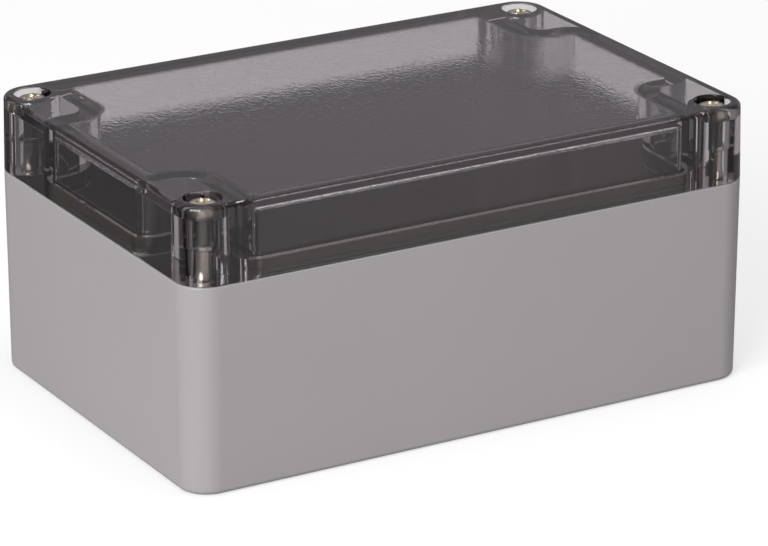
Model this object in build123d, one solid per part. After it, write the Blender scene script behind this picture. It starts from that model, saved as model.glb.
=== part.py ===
from build123d import *
import os

# Sealed polycarbonate box with a see-through lid. Sizes are in millimetres.
# The origin is the centre of the underside, Z is up and the long front wall faces -Y.

# Outer form of the two mouldings, measured at the plane where they meet
length = 120.0
width = 80.0
base_height = 40.0
lid_height = 15.0
corner_radius = 6.0
edge_radius = 1.0
base_draft = 0.36
lid_draft = 1.1
rim_chamfer = 0.2

# Thickness of the flat panels
floor_thickness = 3.0
plate_thickness = 2.6

# Section of the seal, from the outer face inwards
outer_land = 1.5
groove_width = 1.9
inner_lip = 0.8
pocket_side_wall = 1.2
groove_depth = 3.4
gasket_height = 2.4
gasket_side_gap = 0.05
tongue_side_gap = 0.2

# Corner bosses, and the open pockets beside them that hold the wall screws
screw_inset = 5.8
boss_radius = 4.5
pocket_reach = 8.8
pocket_outer_wall = 1.25
pocket_start = 2.0
turn_radius = 1.25
sweep_flat = 1.75
inner_corner_radius = 1.75
wall_hole_radius = 2.15

# Lid screw, cut as a plain shank where the real one has its thread
head_radius = 2.8
head_height = 2.4
head_side = 1.0
crown_radius = 1.9
thread_radius = 1.45
blank_radius = 1.3
neck_radius = 1.1
thread_reach = 4.0
recess_span = 3.0
recess_slot = 0.7
recess_depth = 1.3

# Bore in the lid, with a ledge where its two core pins meet
counterbore_radius = 3.55
counterbore_depth = 3.0
upper_bore_radius = 2.2
lower_bore_radius = 2.0
ledge_height = 6.0

# Retaining ring that sits on the ledge, in the screw's neck
ring_height = 0.8
ring_bore_gap = 0.05
ring_edge_gap = 0.05
ring_end_play = 0.05

# Threaded insert in the base boss
insert_radius = 2.3
insert_length = 5.0
insert_recess = 0.3
insert_thread_gap = 0.05
pilot_radius = 1.7
pilot_depth = 9.0

# Pillars on the floor for a circuit board
pillar_inset_x = 19.0
pillar_inset_y = 10.0
pillar_radius = 3.0
pillar_height = 6.0
pillar_hole_radius = 1.1
pillar_hole_depth = 6.5

# Heights and widths that follow from the sizes above
parting = base_height
lid_top = parting + lid_height
lid_wall = outer_land + groove_width + inner_lip
notch_wall = pocket_side_wall + groove_width + inner_lip
notch_x = screw_inset + boss_radius + notch_wall
notch_y = screw_inset + boss_radius + pocket_reach + notch_wall
sweep_radius = notch_x - lid_wall - turn_radius - sweep_flat
tongue_height = groove_depth - gasket_height
tongue_inside = inner_lip + tongue_side_gap
tongue_outside = inner_lip + groove_width - tongue_side_gap
wall_hole_inset = screw_inset + boss_radius + pocket_reach / 2
seat = lid_top - counterbore_depth
ledge = parting + ledge_height
insert_top = parting - insert_recess

corners = {
    "front_left": (-1, -1),
    "front_right": (1, -1),
    "back_left": (-1, 1),
    "back_right": (1, 1),
}


def at_corners(shape, inset_x, inset_y):
    """The same shape at all four corners, set in from the outer faces."""
    x = length / 2 - inset_x
    y = width / 2 - inset_y
    return [Pos(sign_x * x, sign_y * y) * shape for sign_x, sign_y in corners.values()]


def drilled(radius, low, high):
    """A round hole's own volume, from its lower end to its upper end."""
    return Pos(0, 0, low) * extrude(Circle(radius), amount=high - low)


def outline(inset):
    """Plan of the box at the meeting plane, drawn in from its outer faces."""
    return RectangleRounded(length - 2 * inset, width - 2 * inset, corner_radius - inset)


def seal_area(outward):
    """Plan of the room inside the seal, grown outwards. It sweeps round each corner pocket."""
    end = length / 2 - lid_wall + outward
    side = width / 2 - lid_wall + outward
    step_x = length / 2 - notch_x + outward
    step_y = width / 2 - notch_y + outward
    quarter = [
        ((end, step_y), turn_radius + outward),
        ((step_x, step_y), sweep_radius - outward),
        ((step_x, side), inner_corner_radius + outward),
    ]
    points = []
    bends = []
    for sign_x, sign_y in ((1, 1), (-1, 1), (-1, -1), (1, -1)):
        run = quarter if sign_x == sign_y else quarter[::-1]
        for (x, y), bend in run:
            points.append((sign_x * x, sign_y * y))
            bends.append(bend)
    return make_face(FilletPolyline(*points, radius=bends, close=True).edges())


def pocket_area():
    """Plan of the four corner pockets, outside the seal and beside the screw bosses."""
    area = outline(pocket_outer_wall) - seal_area(notch_wall)
    block = Rectangle(2 * notch_x, 2 * (screw_inset + pocket_start))
    for solid_block in at_corners(block, 0, 0):
        area -= solid_block
    for boss in at_corners(Circle(boss_radius), screw_inset, screw_inset):
        area -= boss
    return area


def make_base():
    """Opaque tub: drafted walls, floor, seal tongue, corner bosses, pockets and pillars."""
    tub = extrude(Pos(0, 0, parting) * outline(0), amount=-base_height, taper=base_draft)
    tub = fillet(tub.faces().sort_by(Axis.Z)[0].edges(), edge_radius)
    tub = chamfer(tub.faces().sort_by(Axis.Z)[-1].edges(), rim_chamfer)
    tub -= extrude(Pos(0, 0, floor_thickness) * seal_area(tongue_inside), amount=base_height)
    strip = seal_area(tongue_outside) - seal_area(tongue_inside)
    tub += extrude(Pos(0, 0, parting) * strip, amount=tongue_height)
    tub -= extrude(Pos(0, 0, floor_thickness) * pocket_area(), amount=base_height)

    insert_hole = drilled(insert_radius, insert_top - insert_length, parting)
    insert_hole += drilled(pilot_radius, insert_top - pilot_depth, parting)
    for hole in at_corners(insert_hole, screw_inset, screw_inset):
        tub -= hole
    wall_hole = drilled(wall_hole_radius, 0, floor_thickness)
    for hole in at_corners(wall_hole, screw_inset, wall_hole_inset):
        tub -= hole

    pillar_top = floor_thickness + pillar_height
    pillar = drilled(pillar_radius, floor_thickness, pillar_top)
    for post in at_corners(pillar, pillar_inset_x, pillar_inset_y):
        tub += post
    pillar_hole = drilled(pillar_hole_radius, pillar_top - pillar_hole_depth, pillar_top)
    for hole in at_corners(pillar_hole, pillar_inset_x, pillar_inset_y):
        tub -= hole
    return tub


def make_lid():
    """See-through cover: flat plate, seal groove, swept corner walls and screw bores."""
    cover = extrude(Pos(0, 0, parting) * outline(0), amount=lid_height, taper=lid_draft)
    cover = fillet(cover.faces().sort_by(Axis.Z)[-1].edges(), edge_radius)
    cover = chamfer(cover.faces().sort_by(Axis.Z)[0].edges(), rim_chamfer)
    depth = lid_height - plate_thickness
    cover -= extrude(Pos(0, 0, parting) * seal_area(0), amount=depth)
    cover -= extrude(Pos(0, 0, parting) * pocket_area(), amount=depth)

    strip = seal_area(inner_lip + groove_width) - seal_area(inner_lip)
    cover -= extrude(Pos(0, 0, parting) * strip, amount=groove_depth)

    bore = drilled(lower_bore_radius, parting, ledge)
    bore += drilled(upper_bore_radius, ledge, seat)
    bore += drilled(counterbore_radius, seat, lid_top)
    for hole in at_corners(bore, screw_inset, screw_inset):
        cover -= hole
    return cover


def make_gasket():
    """Flat sealing strip that fills the roof of the lid's groove."""
    outside = seal_area(inner_lip + groove_width - gasket_side_gap)
    inside = seal_area(inner_lip + gasket_side_gap)
    return extrude(Pos(0, 0, parting + tongue_height) * (outside - inside), amount=gasket_height)


def make_screw():
    """Pan head screw with a cross recess and a neck for its retaining ring."""
    tip = parting - thread_reach
    neck_low = ledge - ring_end_play
    neck_high = ledge + ring_height + ring_end_play
    shoulder = seat + head_side
    crown = seat + head_height
    outer = Polyline(
        (0, crown), (0, tip), (thread_radius, tip), (thread_radius, neck_low),
        (neck_radius, neck_low), (neck_radius, neck_high), (blank_radius, neck_high),
        (blank_radius, seat), (head_radius, seat), (head_radius, shoulder),
        (crown_radius, crown), (0, crown))
    profile = Plane.XZ * make_face(outer.edges())
    body = revolve(profile, axis=Axis.Z)
    cross = Rectangle(recess_span, recess_slot) + Rectangle(recess_slot, recess_span)
    return body - extrude(Pos(0, 0, crown) * cross, amount=-recess_depth)


def make_ring():
    """Ring round the screw's neck, which rides up the wide part of the lid's bore."""
    inner = neck_radius + ring_bore_gap
    outer = upper_bore_radius - ring_edge_gap
    top = ledge + ring_height
    return drilled(outer, ledge, top) - drilled(inner, ledge, top)


def make_insert():
    """Threaded bush, pressed into the base boss."""
    bottom = insert_top - insert_length
    bore = thread_radius + insert_thread_gap
    return drilled(insert_radius, bottom, insert_top) - drilled(bore, bottom, insert_top)


os.makedirs("parts", exist_ok=True)
export_step(make_base(), "parts/base.step")
export_step(make_lid(), "parts/lid.step")
export_step(make_gasket(), "parts/gasket.step")

fastened = {"screw": make_screw(), "retaining_ring": make_ring(), "insert": make_insert()}
for kind, piece in fastened.items():
    for corner, placed in zip(corners, at_corners(piece, screw_inset, screw_inset)):
        export_step(placed, f"parts/{kind}_{corner}.step")
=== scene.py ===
import math

import bmesh
import bpy
from mathutils import Matrix, Vector


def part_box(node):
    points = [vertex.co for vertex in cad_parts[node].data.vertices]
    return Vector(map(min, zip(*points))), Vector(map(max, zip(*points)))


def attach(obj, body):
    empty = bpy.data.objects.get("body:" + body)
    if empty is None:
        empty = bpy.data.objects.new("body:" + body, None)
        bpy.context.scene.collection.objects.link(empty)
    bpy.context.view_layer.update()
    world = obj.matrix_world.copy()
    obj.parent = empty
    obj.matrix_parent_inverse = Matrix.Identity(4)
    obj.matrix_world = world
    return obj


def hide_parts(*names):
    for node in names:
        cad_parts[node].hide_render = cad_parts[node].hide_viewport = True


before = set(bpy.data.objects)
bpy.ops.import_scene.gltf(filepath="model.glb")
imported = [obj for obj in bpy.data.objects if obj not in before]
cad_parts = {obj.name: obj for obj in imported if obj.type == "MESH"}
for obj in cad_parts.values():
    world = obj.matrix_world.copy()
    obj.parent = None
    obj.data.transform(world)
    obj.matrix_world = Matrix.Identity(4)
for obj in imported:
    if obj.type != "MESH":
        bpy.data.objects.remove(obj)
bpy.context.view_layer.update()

# Base: the opaque lower moulding, with its floor, corner bosses, pockets and pillars in one piece.
# Light grey polycarbonate, injection moulded, with a fine satin texture from the tool.
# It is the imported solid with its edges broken, as the tool's small radii leave them.
MM = 0.001
BROKEN_EDGE = 0.12 * MM
BASE_GRAIN = 0.45 * MM
BASE_RELIEF = 0.006 * MM
POLYCARBONATE_IOR = 1.58


def put_in_scene(name, data):
    """A new object in the scene for a mesh, a lamp or a camera."""
    thing = bpy.data.objects.new(name, data)
    bpy.context.scene.collection.objects.link(thing)
    return thing


def merged_copy(node, name):
    """An object with a closed copy of a CAD node, its shared corners merged and its flats whole."""
    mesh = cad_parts[node].data.copy()
    mesh.name = name
    mesh.materials.clear()
    form = bmesh.new()
    form.from_mesh(mesh)
    bmesh.ops.remove_doubles(form, verts=form.verts, dist=0.001 * MM)
    bmesh.ops.dissolve_limit(form, angle_limit=math.radians(0.4), verts=form.verts,
                             edges=form.edges)
    form.to_mesh(mesh)
    form.free()
    return put_in_scene(name, mesh)


def smooth_but_for_edges(mesh, angle=28):
    """Smooth shading, kept sharp where faces meet at more than the angle, in degrees."""
    mesh.shade_smooth()
    mesh.set_sharp_from_angle(angle=math.radians(angle))


def break_edges(piece, width, segments=2, angle=40):
    """Rounds a piece's sharp edges by a small width and evens out its shading."""
    bevel = piece.modifiers.new("broken edges", "BEVEL")
    bevel.width = width
    bevel.segments = segments
    bevel.limit_method = "ANGLE"
    bevel.angle_limit = math.radians(angle)
    bevel.use_clamp_overlap = True
    bevel.harden_normals = True
    even = piece.modifiers.new("even shading", "WEIGHTED_NORMAL")
    even.mode = "FACE_AREA"
    even.weight = 80
    even.keep_sharp = True


def settled(piece):
    """The same piece with its modifiers made part of its mesh."""
    bpy.context.view_layer.update()
    graph = bpy.context.evaluated_depsgraph_get()
    mesh = bpy.data.meshes.new_from_object(piece.evaluated_get(graph), depsgraph=graph)
    piece.modifiers.clear()
    piece.data = mesh
    mesh.name = piece.name
    return piece


def feed(tree, socket, value):
    """Links another node's output to a socket, or sets the socket to a plain value."""
    if isinstance(value, bpy.types.NodeSocket):
        tree.links.new(value, socket)
    else:
        socket.default_value = value


def calc(tree, operation, *values, clamp=False):
    """The result of a Math node on values that are numbers or outputs."""
    node = tree.nodes.new("ShaderNodeMath")
    node.operation = operation
    node.use_clamp = clamp
    for socket, value in zip(node.inputs, values):
        feed(tree, socket, value)
    return node.outputs[0]


def remap(tree, value, low, high, new_low, new_high):
    """A value carried over from one range to another, and held at that range's ends."""
    node = tree.nodes.new("ShaderNodeMapRange")
    for label, given in (("Value", value), ("From Min", low), ("From Max", high),
                         ("To Min", new_low), ("To Max", new_high)):
        feed(tree, node.inputs[label], given)
    return node.outputs["Result"]


def mixed_colour(tree, factor, first, second, blend="MIX"):
    """Two colours mixed by a factor."""
    node = tree.nodes.new("ShaderNodeMix")
    node.data_type = "RGBA"
    node.blend_type = blend
    for socket, value in zip((node.inputs["Factor"], node.inputs[6], node.inputs[7]),
                             (factor, first, second)):
        feed(tree, socket, value)
    return node.outputs[2]


def noise(tree, place, scale, detail):
    """A smooth noise over a place."""
    node = tree.nodes.new("ShaderNodeTexNoise")
    node.inputs["Detail"].default_value = detail
    feed(tree, node.inputs["Vector"], place)
    feed(tree, node.inputs["Scale"], scale)
    return node.outputs["Fac"]


def object_place(tree):
    """The place on the piece, in its own coordinates."""
    return tree.nodes.new("ShaderNodeTexCoord").outputs["Object"]


def relief(tree, shader, height, distance, strength=1.0):
    """Bumps a shader's surface by a height."""
    node = tree.nodes.new("ShaderNodeBump")
    node.inputs["Strength"].default_value = strength
    node.inputs["Distance"].default_value = distance
    tree.links.new(height, node.inputs["Height"])
    tree.links.new(node.outputs["Normal"], shader.inputs["Normal"])


def new_material(name):
    """A material with its node tree, its Principled shader and its output."""
    material = bpy.data.materials.new(name)
    material.use_nodes = True
    tree = material.node_tree
    return material, tree, tree.nodes["Principled BSDF"], tree.nodes["Material Output"]


def named_group(name, kind, inputs, outputs):
    """A node group of a kind with the given inputs and outputs, and its two end nodes."""
    tree = bpy.data.node_groups.new(name, kind)
    for label, socket_kind, value in inputs:
        socket = tree.interface.new_socket(name=label, in_out="INPUT", socket_type=socket_kind)
        if value is not None:
            socket.default_value = value
    for label, socket_kind in outputs:
        tree.interface.new_socket(name=label, in_out="OUTPUT", socket_type=socket_kind)
    return tree, tree.nodes.new("NodeGroupInput"), tree.nodes.new("NodeGroupOutput")


SKIN_OUTPUTS = [("Colour", "NodeSocketColor"), ("Roughness", "NodeSocketFloat"),
                ("Height", "NodeSocketFloat")]


def moulded_grain():
    """Group: the fine skin that a spark eroded tool leaves, as a colour, a roughness and a height."""
    tree, start, end = named_group(
        "moulded grain", "ShaderNodeTree",
        [("Colour", "NodeSocketColor", None), ("Grain Size", "NodeSocketFloat", BASE_GRAIN),
         ("Mottle", "NodeSocketFloat", 0.02), ("Roughness", "NodeSocketFloat", 0.45)],
        SKIN_OUTPUTS)
    grain_roughness = 0.08
    flow_scale = 28.0
    place = object_place(tree)
    grains_per_metre = calc(tree, "DIVIDE", 1.0, start.outputs["Grain Size"])
    grain = noise(tree, place, grains_per_metre, detail=2.0)
    flow = noise(tree, place, flow_scale, detail=3.0)
    darkest = calc(tree, "SUBTRACT", 1.0, start.outputs["Mottle"])
    shade = remap(tree, flow, 0.3, 0.7, 1.0, darkest)
    feed(tree, end.inputs["Colour"],
         mixed_colour(tree, 1.0, start.outputs["Colour"], shade, "MULTIPLY"))
    feed(tree, end.inputs["Roughness"],
         calc(tree, "MULTIPLY_ADD", grain, grain_roughness, start.outputs["Roughness"]))
    feed(tree, end.inputs["Height"], grain)
    return tree


def dress(tree, shader, group, values, relief_height, relief_strength=1.0):
    """Puts a skin group with its values on a shader's colour, roughness and surface."""
    skin = tree.nodes.new("ShaderNodeGroup")
    skin.node_tree = group
    for label, value in values.items():
        skin.inputs[label].default_value = value
    tree.links.new(skin.outputs["Colour"], shader.inputs["Base Color"])
    tree.links.new(skin.outputs["Roughness"], shader.inputs["Roughness"])
    relief(tree, shader, skin.outputs["Height"], relief_height, relief_strength)


def moulded_plastic(name, colour, grain_size, grain_height, roughness, mottle=0.03):
    """An opaque moulding or rubber, with the moulded grain in its colour, gloss and relief."""
    material, tree, shader, _ = new_material(name)
    group = bpy.data.node_groups.get("moulded grain") or moulded_grain()
    dress(tree, shader, group,
          {"Colour": (*colour, 1.0), "Grain Size": grain_size, "Mottle": mottle,
           "Roughness": roughness}, grain_height)
    return material, shader


base_grey, base_shader = moulded_plastic(
    "light grey polycarbonate", colour=(0.38, 0.352, 0.357), grain_size=BASE_GRAIN,
    grain_height=BASE_RELIEF, roughness=0.36)
base_shader.inputs["IOR"].default_value = POLYCARBONATE_IOR
base = merged_copy("base", "base_moulding")
smooth_but_for_edges(base.data)
break_edges(base, BROKEN_EDGE)
settled(base)
base.data.materials.append(base_grey)
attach(base, "base")
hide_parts("base")

# Threaded inserts: knurled brass bushes, turned from bar and pressed warm into the base's bosses.
# Two bands of knurling grip the plastic, with a plain groove between them. One sits at each corner.
# The knurls are set round the bush by a node tree.
CORNERS = [name.removeprefix("insert_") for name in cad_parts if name.startswith("insert_")]
ROUND_STEPS = 64
KNURLS_ROUND, KNURL_ROWS = 30, 2
KNURL_WIDTH, KNURL_HEIGHT, KNURL_SPACING = 0.2, 1.45, 2.2
KNURL_DEPTH, KNURL_START = 0.14, 1.15


def closed_form(form, name):
    """A new object from a closed form, with its faces turned outwards."""
    bmesh.ops.recalc_face_normals(form, faces=form.faces)
    mesh = bpy.data.meshes.new(name)
    form.to_mesh(mesh)
    form.free()
    return put_in_scene(name, mesh)


def round_point(form, radius, turn, height):
    """A vertex at a radius, a turn and a height about the Z axis, the lengths in millimetres."""
    return form.verts.new((radius * MM * math.cos(turn), radius * MM * math.sin(turn),
                           height * MM))


def lathe(name, profile, steps=ROUND_STEPS):
    """A turned solid: the (radius, height) profile in millimetres, spun about the Z axis."""
    form = bmesh.new()
    rings = []
    for radius, height in profile:
        count = steps if radius else 1
        rings.append([round_point(form, radius, math.tau * i / steps, height)
                      for i in range(count)])
    closed = profile[0][0] > 0
    pairs = list(zip(rings, rings[1:])) + ([(rings[-1], rings[0])] if closed else [])
    for one, other in pairs:
        for i in range(steps):
            j = (i + 1) % steps
            corners = [one[i % len(one)], one[j % len(one)], other[j % len(other)],
                       other[i % len(other)]]
            corners = [c for k, c in enumerate(corners) if c not in corners[:k]]
            if len(corners) > 2:
                form.faces.new(corners)
    return closed_form(form, name)


def put_at(piece, node):
    """Moves a piece's mesh from the Z axis to the axis of the CAD node that it stands for."""
    low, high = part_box(node)
    centre = (low + high) / 2
    piece.data.transform(Matrix.Translation((centre.x, centre.y, 0)))


def stretched(tree, place, scale):
    """A place scaled along each axis, for a texture that is drawn out."""
    node = tree.nodes.new("ShaderNodeMapping")
    node.inputs["Scale"].default_value = scale
    tree.links.new(place, node.inputs["Vector"])
    return node.outputs["Vector"]


def split(tree, vector):
    """A vector's X, Y and Z outputs."""
    node = tree.nodes.new("ShaderNodeSeparateXYZ")
    tree.links.new(vector, node.inputs["Vector"])
    return node.outputs


def turned_metal():
    """Group: fine turning lines round the Z axis, a patchy film and a band of painted shade between
    two heights, as a colour and a roughness.
    """
    tree, start, end = named_group(
        "turned metal", "ShaderNodeTree",
        [("Colour", "NodeSocketColor", None), ("Film And Shade Colour", "NodeSocketColor", None),
         ("Film", "NodeSocketFloat", 0.3), ("Roughness", "NodeSocketFloat", 0.2),
         ("Painted Shade From", "NodeSocketFloat", 0.0), ("Painted Shade To", "NodeSocketFloat", 0.0)],
        SKIN_OUTPUTS)
    patches_per_metre = 700.0
    line_stretch = (40.0, 40.0, 9000.0)
    line_roughness = 0.14
    place = object_place(tree)
    patches = noise(tree, place, patches_per_metre, detail=3.0)
    film = remap(tree, patches, 0.4, 0.7, 0.0, start.outputs["Film"])
    height = split(tree, place)["Z"]
    # Between the two heights the film colour covers the metal wholly: a band of painted shade, not a
    # coating.
    above = calc(tree, "GREATER_THAN", height, start.outputs["Painted Shade From"])
    below = calc(tree, "LESS_THAN", height, start.outputs["Painted Shade To"])
    film_or_painted_shade = calc(tree, "MAXIMUM", film, calc(tree, "MULTIPLY", above, below))
    feed(tree, end.inputs["Colour"],
         mixed_colour(tree, film_or_painted_shade, start.outputs["Colour"], start.outputs["Film And Shade Colour"]))
    lines = noise(tree, stretched(tree, place, line_stretch), scale=1.0, detail=1.0)
    feed(tree, end.inputs["Roughness"],
         calc(tree, "MULTIPLY_ADD", lines, line_roughness, start.outputs["Roughness"]))
    feed(tree, end.inputs["Height"], lines)
    return tree


def metal(name, colour, film_colour, film, roughness, painted_shade_band=(0.0, 0.0)):
    """A turned metal, with its turning lines and film in its colour, gloss and relief.

    Between the two heights of the painted shade band, in millimetres, the film colour covers it
    wholly as painted shade."""
    material, tree, shader, _ = new_material(name)
    shader.inputs["Metallic"].default_value = 1.0
    group = bpy.data.node_groups.get("turned metal") or turned_metal()
    dress(tree, shader, group,
          {"Colour": (*colour, 1.0), "Film And Shade Colour": (*film_colour, 1.0), "Film": film,
           "Roughness": roughness, "Painted Shade From": painted_shade_band[0] * MM, "Painted Shade To": painted_shade_band[1] * MM},
          relief_height=0.004 * MM, relief_strength=0.5)
    return material


def chain(tree, kind, out, **links):
    """A node of a kind whose named inputs are linked or set. Gives the named output."""
    node = tree.nodes.new(kind)
    for label, value in links.items():
        feed(tree, node.inputs[label.replace("_", " ")], value)
    return node.outputs[out]


def joined(tree, material, *parts):
    """The parts as one real mesh, in one material."""
    join = tree.nodes.new("GeometryNodeJoinGeometry")
    for part in parts:
        tree.links.new(part, join.inputs["Geometry"])
    real = chain(tree, "GeometryNodeRealizeInstances", "Geometry",
                 Geometry=join.outputs["Geometry"])
    return chain(tree, "GeometryNodeSetMaterial", "Geometry", Geometry=real, Material=material)


def knurl_tree(material):
    """Node tree: adds rows of small ridges round a bush, then gives all of it its material."""
    tree, start, end = named_group(
        "knurled bush", "GeometryNodeTree",
        [("Bush", "NodeSocketGeometry", None), ("Ridges", "NodeSocketInt", KNURLS_ROUND),
         ("Rows", "NodeSocketInt", KNURL_ROWS), ("Radius", "NodeSocketFloat", 2.2 * MM),
         ("Row Height", "NodeSocketFloat", KNURL_HEIGHT * MM), ("Lowest", "NodeSocketFloat", 0.0),
         ("Row Spacing", "NodeSocketFloat", KNURL_SPACING * MM),
         ("Ridge Width", "NodeSocketFloat", KNURL_WIDTH * MM)],
        [("Bush", "NodeSocketGeometry")])
    given = start.outputs
    circle = chain(tree, "GeometryNodeMeshCircle", "Mesh",
                   Vertices=given["Ridges"], Radius=given["Radius"])
    size = chain(tree, "ShaderNodeCombineXYZ", "Vector", X=given["Ridge Width"],
                 Y=given["Ridge Width"], Z=given["Row Height"])
    ridge = chain(tree, "GeometryNodeMeshCube", "Mesh", Size=size)
    facing = tree.nodes.new("FunctionNodeAlignRotationToVector")
    facing.axis = "X"
    facing.pivot_axis = "Z"
    feed(tree, facing.inputs["Vector"],
         tree.nodes.new("GeometryNodeInputPosition").outputs["Position"])
    on_edge = tree.nodes.new("FunctionNodeRotateRotation")
    on_edge.rotation_space = "LOCAL"
    feed(tree, on_edge.inputs["Rotation"], facing.outputs["Rotation"])
    feed(tree, on_edge.inputs["Rotate By"], (0.0, 0.0, math.radians(45)))
    row = chain(tree, "GeometryNodeInstanceOnPoints", "Instances", Points=circle, Instance=ridge,
                Rotation=on_edge.outputs["Rotation"])
    whole_row = chain(tree, "GeometryNodeRealizeInstances", "Geometry", Geometry=row)
    levels = chain(
        tree, "GeometryNodeMeshLine", "Mesh", Count=given["Rows"],
        Start_Location=chain(tree, "ShaderNodeCombineXYZ", "Vector", Z=given["Lowest"]),
        Offset=chain(tree, "ShaderNodeCombineXYZ", "Vector", Z=given["Row Spacing"]))
    rows = chain(tree, "GeometryNodeInstanceOnPoints", "Instances", Points=levels,
                 Instance=whole_row)
    feed(tree, end.inputs["Bush"], joined(tree, material, rows, given["Bush"]))
    return tree


def add_by_nodes(piece, name, tree, **values):
    """Runs a node tree on a piece, its named inputs set through their sockets' identifiers."""
    modifier = piece.modifiers.new(name, "NODES")
    modifier.node_group = tree
    for item in tree.interface.items_tree:
        key = item.name.replace(" ", "_") if item.item_type == "SOCKET" else ""
        if key in values and item.in_out == "INPUT":
            modifier[item.identifier] = values[key]
    settled(piece)


def insert_profile(low, high, outer, bore):
    """Outline of the turned bush in millimetres: two bands to knurl, a groove and a plain collar."""
    land = outer - 0.12
    groove = outer - 0.4
    collar = outer - 0.02
    return [
        (bore, low + 0.15), (bore + 0.15, low), (outer - 0.45, low), (land, low + 0.35),
        (land, low + 1.95), (groove, low + 2.05), (groove, low + 2.45), (land, low + 2.55),
        (land, high - 0.5), (collar, high - 0.42), (collar, high - 0.08), (outer - 0.1, high),
        (bore + 0.25, high), (bore, high - 0.25),
    ]


insert_brass = metal("turned brass", colour=(0.78, 0.58, 0.28), film_colour=(0.5, 0.35, 0.16),
                     film=0.5, roughness=0.22)
knurls = knurl_tree(insert_brass)
insert_low, insert_high = (corner.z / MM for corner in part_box("insert_front_left"))
insert_radius = (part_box("insert_front_left")[1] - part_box("insert_front_left")[0]).x / 2 / MM
insert_bore = 1.5
for corner in CORNERS:
    insert = lathe(f"brass_insert_{corner}",
                   insert_profile(insert_low, insert_high, insert_radius, insert_bore))
    smooth_but_for_edges(insert.data)
    add_by_nodes(insert, "knurling", knurls, Ridges=KNURLS_ROUND, Rows=KNURL_ROWS,
                 Radius=(insert_radius - KNURL_DEPTH) * MM, Row_Height=KNURL_HEIGHT * MM,
                 Lowest=(insert_low + KNURL_START) * MM, Row_Spacing=KNURL_SPACING * MM,
                 Ridge_Width=KNURL_WIDTH * MM)
    put_at(insert, f"insert_{corner}")
    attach(insert, "base")
    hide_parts(f"insert_{corner}")

# Lid: the see-through cover, one moulding with its walls, corner pockets, bores and seal groove.
# Smoke grey polycarbonate, polished all over but for a stipple on the underside of its plate.
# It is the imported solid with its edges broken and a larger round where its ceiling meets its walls.
PLATE_UNDERSIDE = 52.4 * MM
CEILING_ROUND = 0.9 * MM
STIPPLE_GRAIN = 0.5 * MM
STIPPLE_DRAW = 0.4
STIPPLE_HEIGHT = 0.032 * MM
ROUND_GRAIN = 0.25 * MM
ROUND_STIPPLE = 4.0
ON_FLAT, ON_ROUND = 1.0, 2.0
SMOKE_TINT = (0.722, 0.708, 0.716)
WALL_PASSES, PLATE_PASSES = (0.135, 0.11, 0.12), (0.3, 0.262, 0.285)
REFLECTIONS_INSIDE = 2
PARTING = 40.0 * MM
PARTING_GAP = 0.03 * MM


def ceiling_stipple(tree, shader):
    """Bumps the faces that the stipple attribute marks: drawn out on the flat, finer on the round."""
    marks = tree.nodes.new("ShaderNodeAttribute")
    marks.attribute_name = "stipple"
    mark = marks.outputs["Fac"]
    per_metre = remap(tree, mark, ON_FLAT, ON_ROUND, 1.0 / STIPPLE_GRAIN, 1.0 / ROUND_GRAIN)
    strength = remap(tree, mark, ON_FLAT, ON_ROUND, 1.0, ROUND_STIPPLE)
    drawn_out = stretched(tree, object_place(tree), (1.0, STIPPLE_DRAW, 1.0))
    grain = noise(tree, drawn_out, per_metre, detail=1.0)
    marked = calc(tree, "MULTIPLY", grain, calc(tree, "GREATER_THAN", mark, ON_FLAT / 2))
    relief(tree, shader, calc(tree, "MULTIPLY", marked, strength), STIPPLE_HEIGHT)


def smoked_polycarbonate():
    """The lid's material: tinted clear surface, some smoke in the volume, stipple under the plate.

    Light that falls on other things goes straight through, darkened more by walls than by the
    plate. So does a reflection that is caught inside, which would else end black."""
    material, tree, shader, output = new_material("smoked polycarbonate")
    shader.inputs["Base Color"].default_value = (*SMOKE_TINT, 1.0)
    shader.inputs["Roughness"].default_value = 0.0
    shader.inputs["IOR"].default_value = POLYCARBONATE_IOR
    shader.inputs["Transmission Weight"].default_value = 1.0
    ceiling_stipple(tree, shader)
    smoke = tree.nodes.new("ShaderNodeVolumeAbsorption")
    smoke.inputs["Color"].default_value = (0.23, 0.15, 0.18, 1.0)
    smoke.inputs["Density"].default_value = 30.0
    tree.links.new(smoke.outputs["Volume"], output.inputs["Volume"])

    light = tree.nodes.new("ShaderNodeLightPath").outputs
    lighting = calc(tree, "MAXIMUM", light["Is Shadow Ray"], light["Is Diffuse Ray"])
    trapped = calc(tree, "GREATER_THAN", light["Glossy Depth"], REFLECTIONS_INSIDE + 0.5)
    facing = tree.nodes.new("ShaderNodeNewGeometry").outputs["True Normal"]
    level = calc(tree, "ABSOLUTE", split(tree, facing)["Z"])
    straight = tree.nodes.new("ShaderNodeBsdfTransparent")
    feed(tree, straight.inputs["Color"],
         mixed_colour(tree, level, (*WALL_PASSES, 1.0), (*PLATE_PASSES, 1.0)))
    blend = tree.nodes.new("ShaderNodeMixShader")
    feed(tree, blend.inputs["Fac"], calc(tree, "MAXIMUM", lighting, trapped))
    tree.links.new(shader.outputs["BSDF"], blend.inputs[1])
    tree.links.new(straight.outputs["BSDF"], blend.inputs[2])
    tree.links.new(blend.outputs["Shader"], output.inputs["Surface"])
    return material


def linked_run(edges, first):
    """Takes out of a set of edges the ones that hang together with the first, as a list."""
    edges.discard(first)
    waiting, run = [first], []
    while waiting:
        edge = waiting.pop()
        run.append(edge)
        for vertex in edge.verts:
            for other in vertex.link_edges:
                if other in edges:
                    edges.discard(other)
                    waiting.append(other)
    return run


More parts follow.
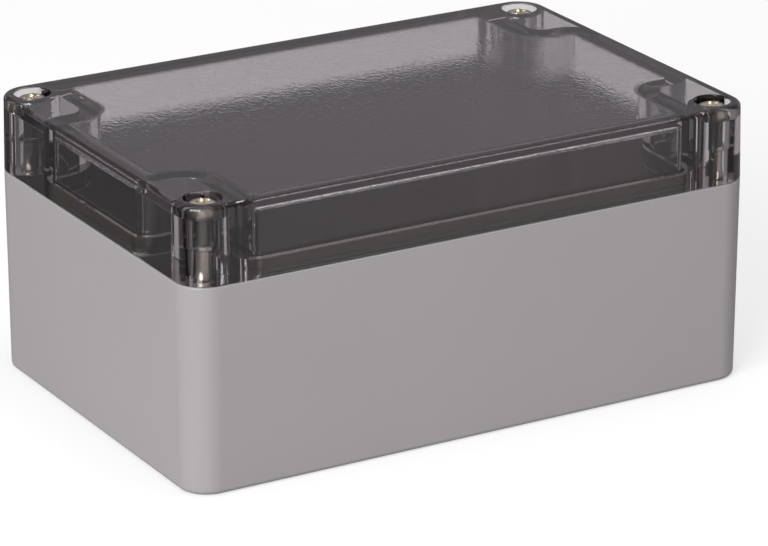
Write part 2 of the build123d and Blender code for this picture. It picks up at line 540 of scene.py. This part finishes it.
def weigh_longest_loop(piece, height):
    """Gives full bevel weight to the longest run of sharp edges that lies at a height."""
    form = bmesh.new()
    form.from_mesh(piece.data)
    weight = form.edges.layers.float.new("bevel_weight_edge")
    form.edges.index_update()
    level = {edge for edge in form.edges
             if all(abs(v.co.z - height) < 0.01 * MM for v in edge.verts)
             and len(edge.link_faces) == 2 and edge.calc_face_angle() > math.radians(60)}
    runs = []
    while level:
        runs.append(linked_run(level, min(level, key=lambda edge: edge.index)))
    for edge in max(runs, key=lambda run: sum(e.calc_length() for e in run)):
        edge[weight] = 1.0
    form.to_mesh(piece.data)
    form.free()


def round_ceiling(piece):
    """Rounds the edge where the plate's underside meets the walls round the room."""
    weigh_longest_loop(piece, PLATE_UNDERSIDE)
    bevel = piece.modifiers.new("ceiling round", "BEVEL")
    bevel.limit_method = "WEIGHT"
    bevel.width = CEILING_ROUND
    bevel.segments = 5
    bevel.use_clamp_overlap = False
    settled(piece)


def mark_stipple(piece):
    """Marks the faces that carry the stipple: the plate's flat underside and the round beside it."""
    marks = piece.data.attributes.new("stipple", "FLOAT", "FACE")
    for face in piece.data.polygons:
        if face.normal.z < -0.1 and abs(face.center.z - PLATE_UNDERSIDE) < CEILING_ROUND:
            marks.data[face.index].value = ON_FLAT if face.normal.z < -0.99 else ON_ROUND


lid = merged_copy("lid", "lid_moulding")
round_ceiling(lid)
smooth_but_for_edges(lid.data)
break_edges(lid, BROKEN_EDGE)
settled(lid)
for vertex in lid.data.vertices:
    vertex.co.z = max(vertex.co.z, PARTING + PARTING_GAP)
mark_stipple(lid)
lid.data.materials.append(smoked_polycarbonate())
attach(lid, "lid")
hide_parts("lid")

# Gasket: one closed strip of soft rubber, seated in the roof of the lid's groove.
# Pinkish beige, dull, a little crowned at its edges. The base's tongue presses into it.
SEAL_EDGE = 0.75 * MM
seal_rubber, _ = moulded_plastic(
    "beige seal rubber", colour=(0.7, 0.57, 0.33), grain_size=0.3 * MM,
    grain_height=0.012 * MM, roughness=0.62, mottle=0.08)
gasket = merged_copy("gasket", "sealing_strip")
smooth_but_for_edges(gasket.data)
break_edges(gasket, SEAL_EDGE, segments=6)
settled(gasket)
for vertex in gasket.data.vertices:
    vertex.co.z = min(vertex.co.z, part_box("gasket")[1].z - PARTING_GAP)
gasket.data.materials.append(seal_rubber)
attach(gasket, "lid")
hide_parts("gasket")

# Lid screws: nickel plated steel pan heads with a cross recess, one at each corner.
# Each has a plain shank, a neck for its retaining ring and a thread cut on its last 4 mm.
# The thread is swept by a node tree, and the recess is punched with a tapered cross.
SEAT, CROWN, TIP, NECK_LOW, NECK_HIGH, THREAD_TOP = 52.0, 54.4, 36.0, 45.95, 46.85, 40.05
HEAD_RADIUS, SHANK_RADIUS, BLANK_RADIUS, NECK_RADIUS, ROOT_RADIUS = 2.8, 1.43, 1.3, 1.1, 1.19
HEAD_CROWN = [(2.8, 53.35), (2.78, 53.55), (2.7, 53.78), (2.56, 53.96), (2.36, 54.1), (2.1, 54.2),
              (1.7, 54.29), (1.2, 54.35), (0.6, 54.39)]
THREAD = {"Turns": 7.0, "Radius": 1.17 * MM, "Length": 3.5 * MM, "Lowest": 36.35 * MM,
          "Ridge": 0.26 * MM}
RECESS_MOUTH, RECESS_FLOOR = (CROWN + 0.3, 1.62, 0.44), (CROWN - 1.25, 0.8, 0.3)


def screw_profile():
    """Outline of the turned screw, from its tip up to its crown, in millimetres."""
    return [
        (0, TIP), (0.95, TIP), (ROOT_RADIUS, TIP + 0.25), (ROOT_RADIUS, THREAD_TOP),
        (1.4, THREAD_TOP + 0.25), (SHANK_RADIUS, THREAD_TOP + 0.35),
        (SHANK_RADIUS, NECK_LOW - 0.08), (1.35, NECK_LOW), (1.12, NECK_LOW),
        (NECK_RADIUS, NECK_LOW + 0.05), (NECK_RADIUS, NECK_HIGH - 0.05), (1.12, NECK_HIGH),
        (1.24, NECK_HIGH), (BLANK_RADIUS, NECK_HIGH + 0.08), (BLANK_RADIUS, SEAT - 0.15),
        (1.36, SEAT - 0.04), (1.5, SEAT), (2.68, SEAT), (2.77, SEAT + 0.05),
        (HEAD_RADIUS, SEAT + 0.14),
    ] + HEAD_CROWN + [(0, CROWN)]


def cross_punch():
    """The tapered cross that cuts a screw's recess, as a closed object."""
    form = bmesh.new()
    levels = []
    for height, reach, half in (RECESS_MOUTH, RECESS_FLOOR):
        corners = [(reach, -half), (reach, half), (half, half), (half, reach), (-half, reach),
                   (-half, half), (-reach, half), (-reach, -half), (-half, -half),
                   (-half, -reach), (half, -reach), (half, -half)]
        levels.append([form.verts.new((x * MM, y * MM, height * MM)) for x, y in corners])
    top, bottom = levels
    form.faces.new(top)
    form.faces.new(bottom[::-1])
    for i in range(len(top)):
        j = (i + 1) % len(top)
        form.faces.new((top[i], bottom[i], bottom[j], top[j]))
    return closed_form(form, "cross punch")


def thread_tree(material):
    """Node tree: sweeps a V shaped ridge along a helix and joins it to the screw."""
    tree, start, end = named_group(
        "cut thread", "GeometryNodeTree",
        [("Screw", "NodeSocketGeometry", None)]
        + [(label, "NodeSocketFloat", value) for label, value in THREAD.items()],
        [("Screw", "NodeSocketGeometry")])
    given = start.outputs
    helix = tree.nodes.new("GeometryNodeCurveSpiral")
    for label, value in (("Resolution", 28), ("Rotations", given["Turns"]),
                         ("Start Radius", given["Radius"]), ("End Radius", given["Radius"]),
                         ("Height", given["Length"])):
        feed(tree, helix.inputs[label], value)
    upright = tree.nodes.new("GeometryNodeSetCurveNormal")
    upright.mode = "Z_UP"
    feed(tree, upright.inputs["Curve"], helix.outputs["Curve"])
    vee = chain(tree, "GeometryNodeCurvePrimitiveCircle", "Curve", Resolution=4,
                Radius=given["Ridge"])
    ridge = chain(tree, "GeometryNodeCurveToMesh", "Mesh", Curve=upright.outputs["Curve"],
                  Profile_Curve=vee, Fill_Caps=True)
    lift = chain(tree, "ShaderNodeCombineXYZ", "Vector", Z=given["Lowest"])
    raised = chain(tree, "GeometryNodeTransform", "Geometry", Geometry=ridge, Translation=lift)
    feed(tree, end.inputs["Screw"], joined(tree, material, raised, given["Screw"]))
    return tree


# The upper shank, from the retaining ring's neck up to the head, is painted dark in the film colour:
# painted shade where it stands in the lid's bore.
nickel = metal("nickel plated steel", colour=(0.84, 0.78, 0.66), film_colour=(0.13, 0.12, 0.095),
               film=0.2, roughness=0.24, painted_shade_band=(NECK_HIGH, SEAT - 0.05))
threads = thread_tree(nickel)
punch = cross_punch()
for corner in CORNERS:
    screw = lathe(f"lid_screw_{corner}", screw_profile())
    recess = screw.modifiers.new("cross recess", "BOOLEAN")
    recess.operation = "DIFFERENCE"
    recess.solver = "EXACT"
    recess.object = punch
    settled(screw)
    smooth_but_for_edges(screw.data, angle=32)
    add_by_nodes(screw, "thread", threads, **THREAD)
    put_at(screw, f"screw_{corner}")
    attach(screw, f"screw_{corner}")
    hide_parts(f"screw_{corner}")
bpy.data.objects.remove(punch)

# Retaining rings: split rings of bright spring steel, snapped into the necks of the screws.
# They keep the screws with the lid and rest on the ledge in its bores.
RING_LOW, RING_HIGH = 46.02, 46.78
RING_INNER, RING_OUTER = 1.17, 2.12
RING_EDGE = 0.09
RING_GAP, RING_TURN = math.radians(26), math.radians(200)
RING_STEPS = 56


def split_ring(name):
    """A flat ring of rectangular section with a gap in it, closed at both cut ends."""
    section = [
        (RING_INNER + RING_EDGE, RING_LOW), (RING_OUTER - RING_EDGE, RING_LOW),
        (RING_OUTER, RING_LOW + RING_EDGE), (RING_OUTER, RING_HIGH - RING_EDGE),
        (RING_OUTER - RING_EDGE, RING_HIGH), (RING_INNER + RING_EDGE, RING_HIGH),
        (RING_INNER, RING_HIGH - RING_EDGE), (RING_INNER, RING_LOW + RING_EDGE),
    ]
    form = bmesh.new()
    loops = []
    for i in range(RING_STEPS + 1):
        turn = RING_GAP / 2 + (math.tau - RING_GAP) * i / RING_STEPS + RING_TURN
        loops.append([round_point(form, radius, turn, height) for radius, height in section])
    count = len(section)
    for one, other in zip(loops, loops[1:]):
        for i in range(count):
            j = (i + 1) % count
            form.faces.new((one[i], one[j], other[j], other[i]))
    form.faces.new(loops[0][::-1])
    form.faces.new(loops[-1])
    return closed_form(form, name)


spring_steel = metal("bright spring steel", colour=(0.74, 0.71, 0.66),
                     film_colour=(0.5, 0.46, 0.4), film=0.3, roughness=0.14)
for corner in CORNERS:
    ring = split_ring(f"split_ring_{corner}")
    smooth_but_for_edges(ring.data)
    ring.data.materials.append(spring_steel)
    put_at(ring, f"retaining_ring_{corner}")
    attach(ring, f"ring_{corner}")
    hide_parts(f"retaining_ring_{corner}")

# Studio: a plain pale floor that runs to the horizon, one large soft light from the front left,
# a weaker one from above, and a room that is white low down and grey higher up.
# Reflections see the floor darkened but for two soft pale cards painted onto it, one to the right,
# one in front: painted reflections, with no card in the scene.
FLOOR_HALF = 6.0
FLOOR_DROP = 0.05 * MM
FLOOR_GLOW, FLOOR_PALE = 0.56, 0.42
REFLECTED_TINT = (1.0, 0.9, 0.94)
ROOM_GREY = (0.37, 0.345, 0.365)
BOX_CENTRE = (0, 0, 27 * MM)
CAMERA_PLACE, CAMERA_TARGET = (-0.38974, -0.67261, 0.31051), (-0.025185, -0.04742, 0.04)


def seen_by_eye(tree):
    """Light Path's outputs, and 1 where a camera, glossy or transmission ray looks."""
    light = tree.nodes.new("ShaderNodeLightPath").outputs
    seen = calc(tree, "ADD", light["Is Camera Ray"], light["Is Glossy Ray"], clamp=True)
    return light, calc(tree, "ADD", seen, light["Is Transmission Ray"], clamp=True)


def along(tree, place, x, y):
    """How far a place on the floor lies in a direction, in metres."""
    node = tree.nodes.new("ShaderNodeVectorMath")
    node.operation = "DOT_PRODUCT"
    node.inputs[1].default_value = (x, y, 0.0)
    tree.links.new(place, node.inputs[0])
    return node.outputs["Value"]


def strip(tree, across, middle, edges, inside, outside):
    """A long strip of the floor with soft edges: one value inside it and another beside it."""
    from_middle = calc(tree, "ABSOLUTE", calc(tree, "SUBTRACT", across, middle))
    return remap(tree, from_middle, *edges, inside, outside)


def painted_reflection_cards(tree):
    """The floor's brightness in reflections: painted reflections of cards at the right and in front.
    """
    place = object_place(tree)
    right_fade = remap(tree, along(tree, place, x=0.6, y=-0.8), -0.13, 0.12, 0.17, 0.65)
    right_strip = strip(tree, along(tree, place, x=0.86, y=0.5), middle=-0.035,
                        edges=(0.05, 0.11), inside=1.0, outside=0.4)
    front_strip = strip(tree, along(tree, place, x=0.86, y=-0.5), middle=-0.03,
                        edges=(0.03, 0.075), inside=0.9, outside=0.0)
    front_start = remap(tree, along(tree, place, x=-0.5, y=-0.86), 0.12, 0.16, 0.0, 1.0)
    return calc(tree, "MAXIMUM", calc(tree, "MULTIPLY", right_fade, right_strip),
                calc(tree, "MULTIPLY", front_strip, front_start))


def floor_material():
    """Plain pale floor. What looks at it sees some white added, and it keeps its shadow.

    In reflections its brightness follows the painted cards, with a slight warm tint."""
    material, tree, shader, output = new_material("pale floor")
    shader.inputs["Roughness"].default_value = 0.9
    shader.inputs["Specular IOR Level"].default_value = 0.0
    light, seen = seen_by_eye(tree)
    reflected = light["Glossy Depth"]
    shared = tree.nodes.new("ShaderNodeMix")
    for label, value in (("Factor", reflected), ("A", 1.0), ("B", painted_reflection_cards(tree))):
        feed(tree, shared.inputs[label], value)
    share = shared.outputs["Result"]
    feed(tree, shader.inputs["Base Color"], calc(tree, "MULTIPLY", share, FLOOR_PALE))
    glow = tree.nodes.new("ShaderNodeEmission")
    feed(tree, glow.inputs["Strength"],
         calc(tree, "MULTIPLY", seen, calc(tree, "MULTIPLY", share, FLOOR_GLOW)))
    feed(tree, glow.inputs["Color"],
         mixed_colour(tree, reflected, (1.0, 1.0, 1.0, 1.0), (*REFLECTED_TINT, 1.0)))
    both = tree.nodes.new("ShaderNodeAddShader")
    tree.links.new(shader.outputs["BSDF"], both.inputs[0])
    tree.links.new(glow.outputs["Emission"], both.inputs[1])
    tree.links.new(both.outputs["Shader"], output.inputs["Surface"])
    return material


def studio_room():
    """The world: plain soft white light, and a room to look at that is white only low down."""
    world = bpy.data.worlds.new("studio room")
    world.use_nodes = True
    room = world.node_tree
    room.nodes.clear()
    soft = room.nodes.new("ShaderNodeBackground")
    soft.inputs["Color"].default_value = (1.0, 1.0, 1.0, 1.0)
    soft.inputs["Strength"].default_value = 0.5
    shade = room.nodes.new("ShaderNodeValToRGB")
    ramp = shade.color_ramp.elements
    ramp[0].position, ramp[0].color = 0.03, (1.0, 1.0, 1.0, 1.0)
    ramp[1].position, ramp[1].color = 0.08, (*ROOM_GREY, 1.0)
    ramp.new(0.55).color = (*ROOM_GREY, 1.0)
    ramp.new(0.85).color = (0.6, 0.58, 0.6, 1.0)
    direction = room.nodes.new("ShaderNodeTexCoord").outputs["Generated"]
    feed(room, shade.inputs["Fac"], split(room, direction)["Z"])
    seen_room = room.nodes.new("ShaderNodeBackground")
    feed(room, seen_room.inputs["Color"], shade.outputs["Color"])
    _, seen = seen_by_eye(room)
    mix = room.nodes.new("ShaderNodeMixShader")
    feed(room, mix.inputs["Fac"], seen)
    room.links.new(soft.outputs["Background"], mix.inputs[1])
    room.links.new(seen_room.outputs["Background"], mix.inputs[2])
    room.links.new(mix.outputs["Shader"], room.nodes.new("ShaderNodeOutputWorld").inputs["Surface"])
    return world


def aim(thing, place, target):
    """Puts a lamp or camera at a place and turns it to face a target."""
    thing.location = place
    thing.rotation_mode = "QUATERNION"
    thing.rotation_quaternion = (Vector(target) - Vector(place)).to_track_quat("-Z", "Y")


def soft_light(name, place, size, power, colour):
    """A square soft light at a place, turned to shine at the middle of the box."""
    data = bpy.data.lights.new(name, "AREA")
    data.color = colour
    data.shape = "SQUARE"
    data.size = size
    data.energy = power
    lamp = put_in_scene(name, data)
    aim(lamp, place, BOX_CENTRE)
    return lamp


floor_mesh = bpy.data.meshes.new("floor")
floor_mesh.from_pydata(
    [(-FLOOR_HALF, -FLOOR_HALF, 0), (FLOOR_HALF, -FLOOR_HALF, 0), (FLOOR_HALF, FLOOR_HALF, 0),
     (-FLOOR_HALF, FLOOR_HALF, 0)], [], [(0, 1, 2, 3)])
floor_mesh.transform(Matrix.Translation((0, 0, -FLOOR_DROP)))
floor_mesh.materials.append(floor_material())
floor = put_in_scene("floor", floor_mesh)
bpy.context.scene.world = studio_room()

soft_light("key softbox", place=(-0.9, -0.56, 0.55), size=0.7, power=12.3,
           colour=(0.97, 1.0, 1.0))
top_softbox = soft_light("top softbox", place=(0.1, -0.1, 1.1), size=0.7, power=3.8,
                         colour=(1.0, 1.0, 1.0))
top_softbox.visible_glossy = False

camera_data = bpy.data.cameras.new("camera")
camera_data.sensor_width = 36.0
camera_data.lens = 203.33
camera_data.shift_x = 0.00198
camera_data.shift_y = -0.00299
camera_data.clip_start = 0.01
camera_data.clip_end = 60.0
camera = put_in_scene("camera", camera_data)
aim(camera, CAMERA_PLACE, CAMERA_TARGET)
bpy.context.scene.camera = camera
bpy.context.scene.view_settings.view_transform = "Standard"
